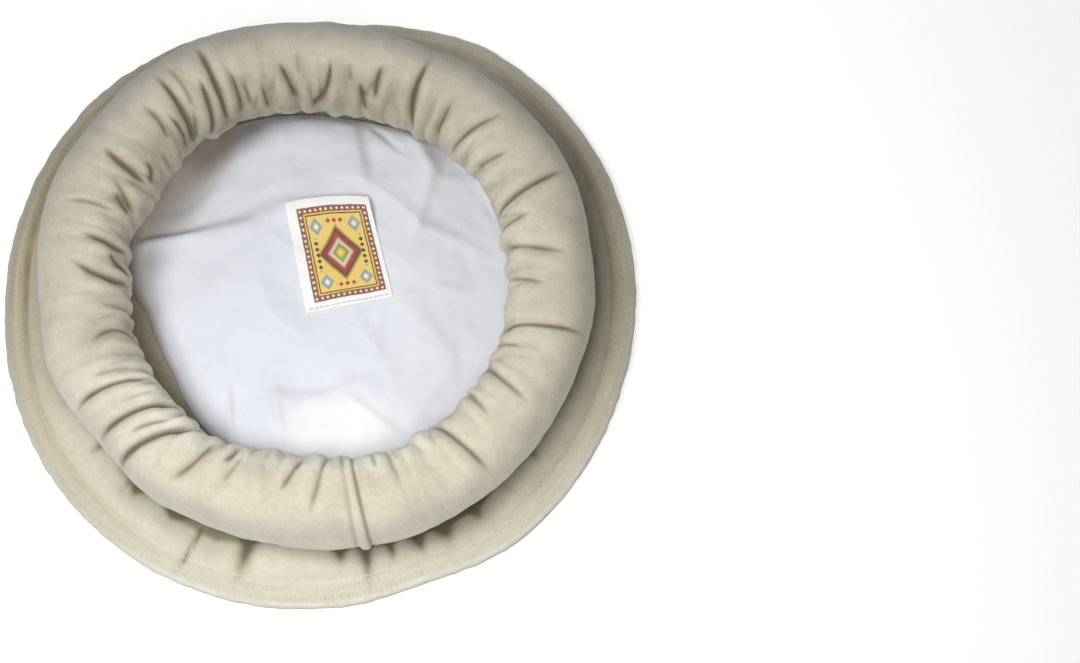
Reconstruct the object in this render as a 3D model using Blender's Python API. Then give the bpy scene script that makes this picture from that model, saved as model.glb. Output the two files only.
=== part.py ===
"""Chitrali cap (pakol): a soft felt cap with a flat round crown and a rolled brim.

It lies as it is put down, on the outer face of its crown, with the opening for
the head facing up. The origin is the centre of the crown's outer face, +Z is the
way out of the opening and the roll's raised seam is near -Y. Sizes are in
millimetres and the meshes are made in metres. Angles around the cap are in
degrees, anticlockwise from +X. An angle "up" goes round the section of the roll:
0 faces out of the cap, 90 up and 180 into the opening.
"""

import math
from collections import namedtuple

import bmesh
import bpy
from mathutils import Matrix

MM = 0.001
GAP = 0.3  # between two pieces that are sewn or lie together

CROWN_R = 148.0  # to the sewn edge
CROWN_T = 2.9  # two layers of felt
FLANGE_W = 11.0  # from the edge in to the seam that joins crown and side
FLANGE_T = 2.2
SEAM_R = CROWN_R - FLANGE_W
SEAM_DEPTH = 0.7  # how far the stitches press the seam in
FELT_T = 2.6  # the side's own thickness
LIFT_FROM_R = CROWN_R - 24.0  # the crown is flat inside this radius
OUTLINE_FROM_R = 108.0  # and the side is a plain round inside this one

ROLL_R = 106.0  # centre line of the roll
ROLL_Z = 32.0
ROLL_HALF_W = 20.5
ROLL_HALF_H = 20.8
ROLL_POWER = 2.3  # a little squarer than an ellipse
PUFF = 0.22  # how far the cloth beside a crease stands up, for each mm of its depth
PUFF_AWAY = 2.3  # where it stands up most, in widths of the crease
PUFF_WIDTH = 1.2

LINING_R = 104.0
LINING_T = 1.0
LINING_Z = CROWN_T + GAP + 0.1
LINING_PUFF = 7.0  # how far the slack lining stands up in the middle
LINING_FREE_R = 82.0  # wrinkles fade out from here to the edge of what shows
LINING_HELD_R = 96.0

LABEL_W = 41.0
LABEL_H = 53.0
LABEL_T = 1.0
LABEL_X = 8.4
LABEL_Y = 19.5
LABEL_TURN = 11.5  # degrees, anticlockwise
LABEL_CURL = 3.0  # how far its top edge lifts
LABEL_CURL_FROM = 0.15  # where the lift starts and ends, as shares of its height
LABEL_CURL_TO = 0.5
LABEL_CUTS = 7

ROLL_STEPS = 136
ROLL_POINTS = 20
FLAT_STEPS = 84  # round the crown and the side
LINING_STEPS = 52

# The sections of the turned pieces: radius and height of each point.
Point = namedtuple("Point", "radius height")
BAND_Z = CROWN_T + GAP
BAND_TOP_Z = ROLL_Z - ROLL_HALF_H - GAP
CROWN_SECTION = (
    Point(LIFT_FROM_R, CROWN_T), Point(SEAM_R, CROWN_T), Point(CROWN_R, CROWN_T),
    Point(CROWN_R + 0.4, CROWN_T / 2), Point(CROWN_R, 0.1), Point(SEAM_R + 1.5, 0.3),
    Point(SEAM_R - 1.5, 0.3 + SEAM_DEPTH), Point(SEAM_R - 4.5, 0.2), Point(LIFT_FROM_R, 0.0),
)
BAND_SECTION = (
    Point(SEAM_R, BAND_Z), Point(CROWN_R, BAND_Z),
    Point(CROWN_R + 0.4, BAND_Z + FLANGE_T / 2), Point(CROWN_R, BAND_Z + FLANGE_T),
    Point(SEAM_R + 2.5, BAND_Z + FLANGE_T), Point(SEAM_R, BAND_Z + FLANGE_T - SEAM_DEPTH),
    Point(131, 6.9), Point(124, 8.6), Point(116, 10.0), Point(108, BAND_TOP_Z),
    Point(97, BAND_TOP_Z), Point(95, BAND_TOP_Z - FELT_T / 2), Point(97, BAND_TOP_Z - FELT_T),
    Point(108, BAND_TOP_Z - FELT_T), Point(116, 10.0 - FELT_T), Point(124, 8.6 - FELT_T),
    Point(131, 6.9 - FELT_T),
)
LINING_SECTION = (
    Point(10, LINING_PUFF), Point(26, LINING_PUFF), Point(42, LINING_PUFF * 0.96),
    Point(56, LINING_PUFF * 0.84), Point(68, LINING_PUFF * 0.6), Point(80, LINING_PUFF * 0.25),
    Point(90, 0.0), Point(98, 0.9), Point(LINING_R, 2.9),
)

# The flange, from above: its outer radius, and how far its edge lifts off the floor.
Edge = namedtuple("Edge", "angle radius lift")
EDGES = (
    Edge(12, 148.2, 1.2), Edge(35, 147.6, 2.0), Edge(52, 147.4, 0.9),
    Edge(62, 146.0, 1.4), Edge(71, 143.0, 1.2), Edge(80, 139.4, 0.8),
    Edge(90, 137.4, 0.6), Edge(100, 139.6, 0.9), Edge(109, 143.0, 1.5),
    Edge(118, 145.2, 1.7), Edge(127, 146.8, 1.2), Edge(138, 149.0, 1.1),
    Edge(162, 148.2, 2.1), Edge(185, 147.8, 0.8), Edge(205, 148.4, 1.6),
    Edge(226, 149.2, 0.9), Edge(250, 148.9, 1.5), Edge(275, 147.6, 0.6),
    Edge(291, 145.9, 1.4), Edge(308, 149.8, 0.8), Edge(335, 148.6, 1.9),
)

# The roll, from above: its two radii and the height of its top.
Station = namedtuple("Station", "angle inner outer top")
STATIONS = (
    Station(10, 88.0, 128.4, 51.8), Station(38, 86.6, 127.2, 52.6),
    Station(54, 84.2, 125.0, 51.8), Station(67, 83.0, 122.0, 52.4),
    Station(80, 82.2, 124.4, 52.8), Station(103, 84.0, 127.4, 51.4),
    Station(128, 87.4, 128.8, 52.2), Station(148, 83.6, 128.0, 53.0),
    Station(163, 86.4, 129.6, 51.4), Station(177, 85.0, 125.6, 52.2),
    Station(190, 84.8, 125.8, 52.4), Station(204, 86.4, 126.0, 51.6),
    Station(217, 83.4, 119.6, 53.2), Station(229, 85.4, 123.4, 52.4),
    Station(243, 86.0, 124.0, 51.8), Station(262, 83.2, 124.6, 52.6),
    Station(281, 85.6, 127.6, 52.4), Station(303, 89.8, 129.2, 51.2),
    Station(333, 89.6, 129.0, 52.6),
)

# Creases where the roll is gathered: a straight run over its skin from one place
# to another. A negative depth is a raised welt.
Fold = namedtuple("Fold", "angle_1 up_1 angle_2 up_2 depth width")
FOLDS = (
    Fold(62, 36, 59, 166, 4.2, 3.8), Fold(72, 92, 72, 138, 1.8, 3.2),
    Fold(86, 88, 92, 168, 3.4, 3.6), Fold(100, 84, 97, 152, 3.2, 3.8),
    Fold(118, 42, 119, 160, 4.8, 4.0), Fold(121, 98, 124, 166, 2.4, 3.2),
    Fold(128, 52, 132, 158, 4.4, 3.8), Fold(137, 88, 137, 138, 2.0, 3.2),
    Fold(150, 50, 152, 146, 4.2, 4.2), Fold(155, 104, 161, 150, 2.6, 3.2),
    Fold(165, 56, 163, 138, 2.8, 3.2), Fold(172, 90, 173, 158, 2.2, 3.4),
    Fold(178, 50, 184, 158, 3.8, 3.8), Fold(201, 100, 200, 166, 2.2, 3.4),
    Fold(213, 14, 214, 138, 3.6, 4.0), Fold(221, 14, 224, 134, 3.8, 4.0),
    Fold(229, -6, 236, 154, 5.0, 4.2), Fold(238, 46, 245, 132, 2.8, 3.6),
    Fold(251, 84, 254, 146, 1.8, 3.4), Fold(264, 78, 269, 146, 3.2, 3.8),
    Fold(272, 62, 276, 144, 2.4, 3.4), Fold(285, -10, 284, 150, 2.6, 2.8),
    Fold(293, 82, 294, 134, 2.2, 3.6), Fold(311, 40, 308, 154, 3.4, 4.0),
    Fold(327, 66, 330, 158, 2.8, 3.6), Fold(346, 30, 342, 152, 3.8, 4.2),
    Fold(3, 70, 7, 154, 2.8, 3.8), Fold(22, 38, 18, 160, 3.8, 4.0),
    Fold(40, 74, 43, 158, 3.0, 3.8),
    Fold(282, -40, 282, 168, -1.6, 2.6),
)

# Pleats in the side, between the seam and the roll.
Pleat = namedtuple("Pleat", "angle height width")
PLEATS = (
    Pleat(8, 1.0, 4.0), Pleat(33, 1.2, 4.5), Pleat(66, 1.4, 4.0),
    Pleat(92, 0.9, 4.0), Pleat(121, 1.2, 4.5), Pleat(152, 1.0, 4.0),
    Pleat(180, 1.2, 4.5), Pleat(207, 0.9, 4.0), Pleat(229, 1.4, 4.0),
    Pleat(243, 0.9, 4.0), Pleat(257, 1.4, 4.0), Pleat(277, 1.2, 3.5),
    Pleat(287, 1.3, 3.5), Pleat(312, 1.0, 4.5), Pleat(338, 1.2, 4.0),
)

# Soft wrinkles of the lining: ridges from one point to another, seen from above.
Wrinkle = namedtuple("Wrinkle", "x_1 y_1 x_2 y_2 height width")
WRINKLES = (
    Wrinkle(-75, 25, -30, 32, 1.6, 5.0), Wrinkle(-30, 32, 0, 62, 1.0, 5.0),
    Wrinkle(48, 62, 72, 40, 1.4, 5.0), Wrinkle(44, 30, 74, 14, 1.0, 6.0),
    Wrinkle(-34, -74, -24, -46, 1.0, 5.0), Wrinkle(6, -76, 2, -42, 0.8, 5.0),
    Wrinkle(52, -52, 40, -22, 0.9, 6.0),
)


def smooth(value, low, high):
    """0 below low and 1 above high, with a soft change between them."""
    share = min(max((value - low) / (high - low), 0.0), 1.0)
    return share * share * (3.0 - 2.0 * share)


def around(rows, column, angle):
    """One column of a table that goes round the cap, read at an angle as a smooth curve."""
    angle %= 360.0
    count = len(rows)
    after = next((i for i, row in enumerate(rows) if row.angle > angle), 0)
    before = after - 1
    start = rows[before].angle
    span = (rows[after].angle - start) % 360.0
    share = ((angle - start) % 360.0) / span
    p0, p1, p2, p3 = (getattr(rows[(before + i) % count], column) for i in (-1, 0, 1, 2))
    slope_1, slope_2 = (p2 - p0) / 2.0, (p3 - p1) / 2.0
    square, cube = share ** 2, share ** 3
    return (
        p1 * (2 * cube - 3 * square + 1) + slope_1 * (cube - 2 * square + share)
        + p2 * (3 * square - 2 * cube) + slope_2 * (cube - square)
    )


def run_distance(px, py, ax, ay, bx, by):
    """Distance from a point to the straight run from a to b."""
    dx, dy = bx - ax, by - ay
    share = ((px - ax) * dx + (py - ay) * dy) / (dx * dx + dy * dy)
    share = min(max(share, 0.0), 1.0)
    return math.hypot(px - ax - share * dx, py - ay - share * dy)


def turned(angle):
    """The same angle, between -180 and 180 degrees."""
    return (angle + 180.0) % 360.0 - 180.0


def fold_depth(angle, up):
    """How far the gathers pull the roll's skin in at one place. Less than 0 is a puff."""
    around_mm = math.radians(ROLL_R)  # for each degree around the cap
    up_mm = math.radians(ROLL_HALF_W)  # for each degree round the roll's section
    total = 0.0
    for fold in FOLDS:
        away = run_distance(
            turned(angle - fold.angle_1) * around_mm, turned(up - fold.up_1) * up_mm,
            0.0, 0.0,
            (fold.angle_2 - fold.angle_1) * around_mm, (fold.up_2 - fold.up_1) * up_mm,
        ) / fold.width
        total += fold.depth * math.exp(-away * away)
        if fold.depth > 0:
            beside = (away - PUFF_AWAY) / PUFF_WIDTH
            total -= PUFF * fold.depth * math.exp(-beside * beside)
    return total


def pleat_height(angle):
    """How far the pleats push the side out at one angle."""
    total = 0.0
    for pleat in PLEATS:
        away = math.radians(turned(angle - pleat.angle)) * CROWN_R / pleat.width
        total += pleat.height * math.exp(-away * away)
    return total


def flange_place(angle, radius, height):
    """Where the flange's own outline and lift put a point of the crown or the side."""
    outer = smooth(radius, OUTLINE_FROM_R, SEAM_R)
    raised = smooth(radius, LIFT_FROM_R, CROWN_R)
    radius += outer * (around(EDGES, "radius", angle) - CROWN_R)
    height += raised * around(EDGES, "lift", angle)
    return radius, height


def band_place(angle, radius, height):
    """Where a point of the plain turned side goes, with its pleats."""
    free = smooth(radius, ROLL_R, ROLL_R + 8.0) * (1.0 - smooth(radius, LIFT_FROM_R, SEAM_R))
    radius, height = flange_place(angle, radius, height)
    return radius, height + free * pleat_height(angle)


def roll_place(angle, radius, height):
    """Where a point of the plain turned roll goes on the soft, gathered one."""
    up = math.degrees(math.atan2(
        (height - ROLL_Z) / ROLL_HALF_H, (radius - ROLL_R) / ROLL_HALF_W))
    inner, outer, top = (around(STATIONS, name, angle) for name in ("inner", "outer", "top"))
    pull = 1.0 - fold_depth(angle, up) / ROLL_HALF_W
    wide = (outer - inner) / 2.0 / ROLL_HALF_W
    tall = (top - ROLL_Z) / ROLL_HALF_H if height > ROLL_Z else 1.0
    return (
        (inner + outer) / 2.0 + (radius - ROLL_R) * wide * pull,
        ROLL_Z + (height - ROLL_Z) * tall * pull,
    )


def lining_place(angle, radius, height):
    """Where the lining's wrinkles lift it."""
    x = radius * math.cos(math.radians(angle))
    y = radius * math.sin(math.radians(angle))
    free = 1.0 - smooth(radius, LINING_FREE_R, LINING_HELD_R)
    for row in WRINKLES:
        away = run_distance(x, y, row.x_1, row.y_1, row.x_2, row.y_2) / row.width
        height += free * row.height * math.exp(-away * away)
    return radius, height


def roll_point(up):
    """A point on the roll's section, at one angle up."""
    cosine, sine = math.cos(math.radians(up)), math.sin(math.radians(up))
    reach = (abs(cosine) ** ROLL_POWER + abs(sine) ** ROLL_POWER) ** (-1.0 / ROLL_POWER)
    return Point(ROLL_R + ROLL_HALF_W * reach * cosine, ROLL_Z + ROLL_HALF_H * reach * sine)


def turned_mesh(section, steps, place):
    """A section turned about +Z, closed at its ends, then each point moved by place."""
    mesh = bmesh.new()
    points = [mesh.verts.new((point.radius, 0.0, point.height)) for point in section]
    edges = [mesh.edges.new(pair) for pair in zip(points, points[1:])]
    bmesh.ops.spin(
        mesh, geom=points + edges, cent=(0, 0, 0), axis=(0, 0, 1),
        angle=math.tau, steps=steps, use_merge=True)
    bmesh.ops.remove_doubles(mesh, verts=mesh.verts, dist=MM)
    holes = [edge for edge in mesh.edges if edge.is_boundary]
    if holes:
        bmesh.ops.holes_fill(mesh, edges=holes, sides=0)
    for vert in mesh.verts:
        angle = math.degrees(math.atan2(vert.co.y, vert.co.x))
        radius, height = place(angle, math.hypot(vert.co.x, vert.co.y), vert.co.z)
        vert.co.x = radius * math.cos(math.radians(angle))
        vert.co.y = radius * math.sin(math.radians(angle))
        vert.co.z = height
    return mesh


def make_object(name, mesh, material, collection):
    """A named object in metres from a mesh in millimetres, with its faces turned out."""
    mesh.transform(Matrix.Scale(MM, 4))
    bmesh.ops.recalc_face_normals(mesh, faces=mesh.faces)
    data = bpy.data.meshes.new(name)
    mesh.to_mesh(data)
    mesh.free()
    data.materials.append(material)
    data.shade_smooth()
    data.set_sharp_from_angle(angle=math.radians(50))
    item = bpy.data.objects.new(name, data)
    collection.objects.link(item)
    return item


def make_material(name, colour, roughness):
    material = bpy.data.materials.new(name)
    material.use_nodes = True
    shader = material.node_tree.nodes["Principled BSDF"]
    shader.inputs["Base Color"].default_value = (*colour, 1.0)
    shader.inputs["Roughness"].default_value = roughness
    shader.inputs["Metallic"].default_value = 0.0
    return material


def make_crown(felt, collection):
    """The flat round crown: flat where it rests, with a pressed seam near its edge."""
    mesh = turned_mesh(CROWN_SECTION, FLAT_STEPS, flange_place)
    return make_object("crown_top", mesh, felt, collection)


def make_side(felt, collection):
    """The side: felt that is sewn to the crown's edge and runs in under the roll."""
    mesh = turned_mesh(BAND_SECTION + BAND_SECTION[:1], FLAT_STEPS, band_place)
    return make_object("side_band", mesh, felt, collection)


def make_roll(felt, collection):
    """The brim: the rest of the side's felt, wound up into a thick gathered roll."""
    section = [roll_point(i * 360.0 / ROLL_POINTS) for i in range(ROLL_POINTS)]
    mesh = turned_mesh(section + section[:1], ROLL_STEPS, roll_place)
    return make_object("rolled_brim", mesh, felt, collection)


def make_lining(cotton, collection):
    """A slack cotton dish inside the crown, tucked under the roll all round."""
    under = [Point(row.radius, row.height + LINING_Z) for row in LINING_SECTION]
    over = [Point(row.radius, row.height + LINING_T) for row in reversed(under)]
    mesh = turned_mesh(under + over, LINING_STEPS, lining_place)
    return make_object("lining", mesh, cotton, collection)


def make_label(cotton, collection):
    """A sewn patch that lies on the lining, with its top edge lifting a little."""
    mesh = bmesh.new()
    bmesh.ops.create_cube(mesh, size=1.0, matrix=Matrix.Diagonal((LABEL_W, LABEL_H, LABEL_T, 1.0)))
    long_edges = [edge for edge in mesh.edges if edge.calc_length() > LABEL_T * 2]
    bmesh.ops.subdivide_edges(mesh, edges=long_edges, cuts=LABEL_CUTS, use_grid_fill=True)
    base = LINING_Z + LINING_PUFF + LINING_T + GAP + LABEL_T / 2
    low, high = LABEL_H * LABEL_CURL_FROM, LABEL_H * LABEL_CURL_TO
    for vert in mesh.verts:
        vert.co.z += base + LABEL_CURL * smooth(vert.co.y, low, high)
    mesh.transform(Matrix.Rotation(math.radians(LABEL_TURN), 4, "Z"))
    mesh.transform(Matrix.Translation((LABEL_X, LABEL_Y, 0.0)))
    return make_object("label", mesh, cotton, collection)


def main():
    for item in list(bpy.data.objects):
        bpy.data.objects.remove(item, do_unlink=True)
    collection = bpy.data.collections.new("chitrali_cap")
    bpy.context.scene.collection.children.link(collection)
    felt = make_material("cream_felt", (0.76, 0.70, 0.57), 0.95)
    cotton = make_material("white_cotton", (0.78, 0.80, 0.83), 0.9)
    printed = make_material("printed_cotton", (0.80, 0.74, 0.62), 0.85)
    make_crown(felt, collection)
    make_side(felt, collection)
    make_roll(felt, collection)
    make_lining(cotton, collection)
    make_label(printed, collection)


main()
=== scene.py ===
"""Chitrali cap (pakol): cream felt with a flat crown and a thick rolled brim, a slack white
cotton lining and a small printed label. It lies on its crown, with the opening up.

Metres, +Z up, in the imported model's frame. Angles round the cap are in degrees, anticlockwise
from +X; an angle "up" goes round the section of the roll: 0 faces out, 90 up, 180 inwards.
"""

import math
import random
from collections import namedtuple

import bpy
import numpy as np
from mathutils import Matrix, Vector, noise
from mathutils.bvhtree import BVHTree


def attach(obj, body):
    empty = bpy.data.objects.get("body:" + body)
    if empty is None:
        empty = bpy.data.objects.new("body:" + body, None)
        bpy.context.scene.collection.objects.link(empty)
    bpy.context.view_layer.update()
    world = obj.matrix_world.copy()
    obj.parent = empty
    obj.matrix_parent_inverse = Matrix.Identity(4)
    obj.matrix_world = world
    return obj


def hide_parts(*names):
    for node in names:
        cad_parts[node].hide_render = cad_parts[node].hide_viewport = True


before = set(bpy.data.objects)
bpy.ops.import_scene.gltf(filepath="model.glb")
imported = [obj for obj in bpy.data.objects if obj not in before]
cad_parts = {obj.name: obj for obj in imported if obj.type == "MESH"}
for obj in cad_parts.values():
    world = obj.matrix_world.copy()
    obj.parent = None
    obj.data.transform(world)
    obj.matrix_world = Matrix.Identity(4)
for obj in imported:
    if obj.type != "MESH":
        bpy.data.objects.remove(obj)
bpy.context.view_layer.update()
MM = 0.001


# ---------------- crown
# The crown is a round of two felt layers, laid face down here. A pressed seam runs round it
# just inside the edge, where the side is sewn on, with a soft lip beside it.
class Shade:
    """One socket of a material's nodes. Arithmetic on it adds Math nodes."""

    def __init__(self, tree, socket=None):
        self.tree = tree
        self.socket = socket

    def node(self, kind, inputs=(), out=0, stops=(), **settings):
        """Adds a node: first its settings, then the values or links of its sockets."""
        made = self.tree.nodes.new(kind)
        for name, value in settings.items():
            setattr(made, name, value)
        for place, colour in stops:
            stop = made.color_ramp.elements.new(place)
            stop.color = (*colour, 1.0)
        if stops:
            made.color_ramp.elements.remove(made.color_ramp.elements[0])
            made.color_ramp.elements.remove(made.color_ramp.elements[-1])
        for key, value in dict(inputs).items():
            if isinstance(value, Shade):
                self.tree.links.new(value.socket, made.inputs[key])
            elif isinstance(value, tuple) and len(value) == 3 and made.inputs[key].type == "RGBA":
                made.inputs[key].default_value = (*value, 1.0)
            else:
                made.inputs[key].default_value = value
        return Shade(self.tree, made.outputs[out])

    def math(self, operation, *others):
        return self.node("ShaderNodeMath", dict(enumerate((self, *others))), operation=operation)

    def __add__(self, other):
        return self.math("ADD", other)

    def __sub__(self, other):
        return self.math("SUBTRACT", other)

    def __rsub__(self, other):
        return self.node("ShaderNodeMath", {0: other, 1: self}, operation="SUBTRACT")

    def __mul__(self, other):
        return self.math("MULTIPLY", other)

    def __abs__(self):
        return self.math("ABSOLUTE")

    __radd__ = __add__
    __rmul__ = __mul__

    def noise(self, scale, detail=3.0, roughness=0.55, distortion=0.0):
        """Noise on these coordinates, as a value from 0 to 1."""
        inputs = {"Vector": self, "Scale": scale, "Detail": detail,
                  "Roughness": roughness, "Distortion": distortion}
        return self.node("ShaderNodeTexNoise", inputs)

    def mixed(self, first, second):
        """first where this value is 0 and second where it is 1, as colours."""
        return self.node("ShaderNodeMix", {0: self, 6: first, 7: second}, out=2, data_type="RGBA")

    def ramp(self, *stops):
        """Colours along this value."""
        return self.node("ShaderNodeValToRGB", {0: self}, stops=stops)

    def x_and_y(self):
        """The first two of these coordinates, each as a value."""
        parts = self.node("ShaderNodeSeparateXYZ", {0: self}).socket.node.outputs
        return Shade(self.tree, parts[0]), Shade(self.tree, parts[1])

    def tone(self, name):
        """A tone that put_tone stored on the piece."""
        return self.node("ShaderNodeAttribute", attribute_name=name, out=2)


def new_material(name, roughness, sheen):
    """A material, and the Shade that its nodes are made from."""
    material = bpy.data.materials.new(name)
    material.use_nodes = True
    tree = material.node_tree
    shader = tree.nodes["Principled BSDF"]
    shader.inputs["Roughness"].default_value = roughness
    shader.inputs["Sheen Weight"].default_value = sheen
    shader.inputs["Specular IOR Level"].default_value = 0.25
    return material, Shade(tree)


def feed(shade, colour, height, distance, strength):
    """Links a colour and a bump height, in metres of relief, to the material's shader."""
    shader = shade.tree.nodes["Principled BSDF"]
    bump = shade.node("ShaderNodeBump", {"Height": height, "Distance": distance, "Strength": strength})
    shade.tree.links.new(colour.socket, shader.inputs["Base Color"])
    shade.tree.links.new(bump.socket, shader.inputs["Normal"])


# Colours the tones mix in: painted shade with some dirt, grey painted shade, a pale cream for painted
# light, and tan.
SHADE_AND_DIRT_BROWN = (0.178, 0.143, 0.085)
PAINTED_SHADE_GREY = (0.355, 0.35, 0.35)
PALE_AND_LIT_CREAM = (0.80, 0.79, 0.685)
TANNED = (0.69, 0.60, 0.425)


def make_felt(name, pale, deep):
    """Milled wool: blotches and matted fibres, with a little dirt and painted shade and light."""
    material, shade = new_material(name, roughness=0.95, sheen=0.25)
    place = shade.node("ShaderNodeTexCoord", out=3)
    blotch = place.noise(45.0, 3.0)
    mottle = place.noise(330.0, 4.0, 0.62)
    fibre = place.noise(1500.0, 3.0, 0.6, 1.2)
    # The pale tone is mostly painted light: it lifts the wool towards the pale cream.
    wool = blotch * 0.34 + mottle * 0.42 + fibre * 0.24 + shade.tone("pale_and_painted_light") * 0.34
    colour = wool.ramp((0.30, deep), (0.62, pale), (0.95, PALE_AND_LIT_CREAM))
    for tone, tone_colour in (("tanned", TANNED), ("painted_dim_shade", PAINTED_SHADE_GREY), ("shade_and_dirt", SHADE_AND_DIRT_BROWN)):
        colour = shade.tone(tone).mixed(colour, tone_colour)
    feed(shade, colour, mottle * 0.55 + fibre * 0.45, 0.5 * MM, 0.75)
    return material


felt = make_felt("cream_felt", pale=(0.668, 0.632, 0.512), deep=(0.534, 0.494, 0.387))


def smooth(value, low, high):
    """0 below low and 1 above high, with a soft change between them."""
    share = np.clip((value - low) / (high - low), 0.0, 1.0)
    return share * share * (3.0 - 2.0 * share)


def between(value, none_1, full_1, full_2, none_2):
    """1 from full_1 to full_2, with a soft change to 0 at both none_1 and none_2."""
    return smooth(value, none_1, full_1) * (1.0 - smooth(value, full_2, none_2))


def round_curve(points, values, harmonics=14, sectors=90):
    """The largest value in each direction from +Z, as a smooth function of the angle."""
    angles = np.degrees(np.arctan2(points[:, 1], points[:, 0]))
    middle = np.arange(sectors) * 360.0 / sectors
    away = np.abs((angles[None, :] - middle[:, None] + 180.0) % 360.0 - 180.0)
    peaks = np.where(away < 270.0 / sectors, values[None, :], -1.0).max(axis=1)
    waves = np.fft.rfft(peaks)[: harmonics + 1] / sectors
    waves[1:] *= 2.0

    def at(angle):
        turns = np.radians(np.asarray(angle, float))
        return sum((w * np.exp(1j * k * turns)).real for k, w in enumerate(waves))

    return at


def node_points(name):
    """The points of one of the frame's solids."""
    return np.array([vert.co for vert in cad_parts[name].data.vertices], float)


CROWN_R = 0.148
SEAM_R = 0.137
OUTLINE_FROM_R = 0.108
LIFT_FROM_R = 0.124
side_points = node_points("side_band")
side_angles = np.degrees(np.arctan2(side_points[:, 1], side_points[:, 0]))
side_radii = np.hypot(side_points[:, 0], side_points[:, 1])
edge_radius = round_curve(side_points, side_radii, harmonics=20)
edge_rows = side_points[side_radii > edge_radius(side_angles) - 2.5 * MM]
edge_lift_low = round_curve(edge_rows, -edge_rows[:, 2], harmonics=10)
# The seam that joins the crown and the side: how far inside the edge it runs (mm), and how
# hard it is drawn in.
Seam = namedtuple("Seam", "angle inset pressed")
SEAMS = [Seam(*row) for row in (
    (0, 10.0, 0.5), (60, 9.0, 0.5), (100, 8.0, 0.4), (130, 6.5, 0.4), (150, 6.2, 0.6),
    (165, 7.9, 0.9), (180, 9.7, 1.0), (190, 9.4, 0.7), (204, 9.0, 0.55), (220, 9.6, 0.5),
    (232, 10.4, 0.35), (242, 11.3, 0.15), (275, 11.8, 0.1), (300, 11.4, 0.2), (335, 10.4, 0.4),
    (360, 10.0, 0.5),
)]


def edge_lift(angle):
    """How far the flange's edge lifts off the floor."""
    return np.maximum(-edge_lift_low(angle) - 3.2 * MM, 0.0)


def along_seam(angle, column):
    """One column of the table of the seam, at each angle."""
    return np.interp(np.asarray(angle) % 360.0, [row.angle for row in SEAMS],
                     [getattr(row, column) for row in SEAMS])


def refined(section, spacing, closed=True, plain_inside=0.0):
    """Points added along a section, so that no step is longer than spacing; inside the radius
    plain_inside, where little happens, the steps are four times as long."""
    fine = []
    after = section[1:] + section[:1]
    for (r_1, z_1), (r_2, z_2) in zip(section if closed else section[:-1], after):
        step = spacing * (4.0 if max(r_1, r_2) <= plain_inside else 1.0)
        count = max(1, math.ceil(math.hypot(r_2 - r_1, z_2 - z_1) / step))
        fine += [(r_1 + (r_2 - r_1) * i / count, z_1 + (z_2 - z_1) * i / count) for i in range(count)]
    return fine if closed else fine + section[-1:]


def softened(section, closed=True):
    """The section with its corners rounded off."""
    soft = [
        tuple(0.25 * a + 0.5 * b + 0.25 * c for a, b, c in zip(before, here, after))
        for before, here, after in zip(section[-1:] + section[:-1], section, section[1:] + section[:1])
    ]
    return soft if closed else section[:1] + soft[1:-1] + section[-1:]


def closed_up(piece, gap):
    """Merges what lies closer than the gap, points the faces outwards and smooths them."""
    bpy.ops.object.mode_set(mode="EDIT")
    bpy.ops.mesh.select_all(action="SELECT")
    bpy.ops.mesh.remove_doubles(threshold=gap)
    bpy.ops.mesh.normals_make_consistent(inside=False)
    bpy.ops.object.mode_set(mode="OBJECT")
    bpy.ops.object.shade_smooth()
    piece.select_set(False)


def spun(name, section, steps, closed=True):
    """A section of (radius, height) points turned once round +Z. An open one may end on the axis."""
    bpy.ops.object.select_all(action="DESELECT")
    bpy.ops.mesh.primitive_circle_add(vertices=len(section))
    ring = bpy.context.object
    ring.name = ring.data.name = name
    for vert, (radius, height) in zip(ring.data.vertices, section):
        vert.co = (radius, 0.0, height)
    if not closed:
        last = {0, len(section) - 1}
        for edge in ring.data.edges:
            edge.select = set(edge.vertices) == last
        for vert in ring.data.vertices:
            vert.select = False
        bpy.ops.object.mode_set(mode="EDIT")
        bpy.ops.mesh.delete(type="EDGE_FACE")
        bpy.ops.object.mode_set(mode="OBJECT")
    turn = ring.modifiers.new("turn", "SCREW")
    turn.steps = turn.render_steps = steps
    turn.angle = math.tau
    bpy.ops.object.modifier_apply(modifier=turn.name)
    closed_up(ring, 0.01 * MM)
    return ring


def polar(piece):
    """Angle, radius and height of each of a mesh's points."""
    spots = np.empty(len(piece.data.vertices) * 3)
    piece.data.vertices.foreach_get("co", spots)
    x, y, z = spots.reshape(-1, 3).T
    return np.degrees(np.arctan2(y, x)), np.hypot(x, y), z


def set_polar(piece, angle, radius, height):
    """Moves each of a mesh's points to that angle, radius and height."""
    turns = np.radians(angle)
    spots = np.column_stack([radius * np.cos(turns), radius * np.sin(turns), height])
    piece.data.vertices.foreach_set("co", spots.ravel())
    piece.data.update()


def lumps(angle, radius, size, seed, height=0.0):
    """Smooth noise from -1 to 1, with lumps of that size."""
    turns = np.radians(angle)
    x, y = radius * np.cos(turns) / size, radius * np.sin(turns) / size
    z = np.full_like(turns, seed * 7.3) + height / size
    return np.array([noise.noise(Vector(spot)) for spot in zip(x, y, z)]) * 1.6


def on_outline(angle, radius):
    """Where the flange's outline and its seam put a plain radius."""
    outer = smooth(radius, OUTLINE_FROM_R, SEAM_R)
    nicks = 0.30 * MM * lumps(angle, CROWN_R, 0.0045, 8)
    seam = between(radius, 0.122, SEAM_R, SEAM_R, 0.1462)
    seam *= 11.0 * MM - along_seam(angle, "inset") * MM
    reach = edge_radius(angle) - 0.6 * MM + nicks * smooth(radius, 0.144, CROWN_R) - CROWN_R
    return radius + outer * reach + seam


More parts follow.
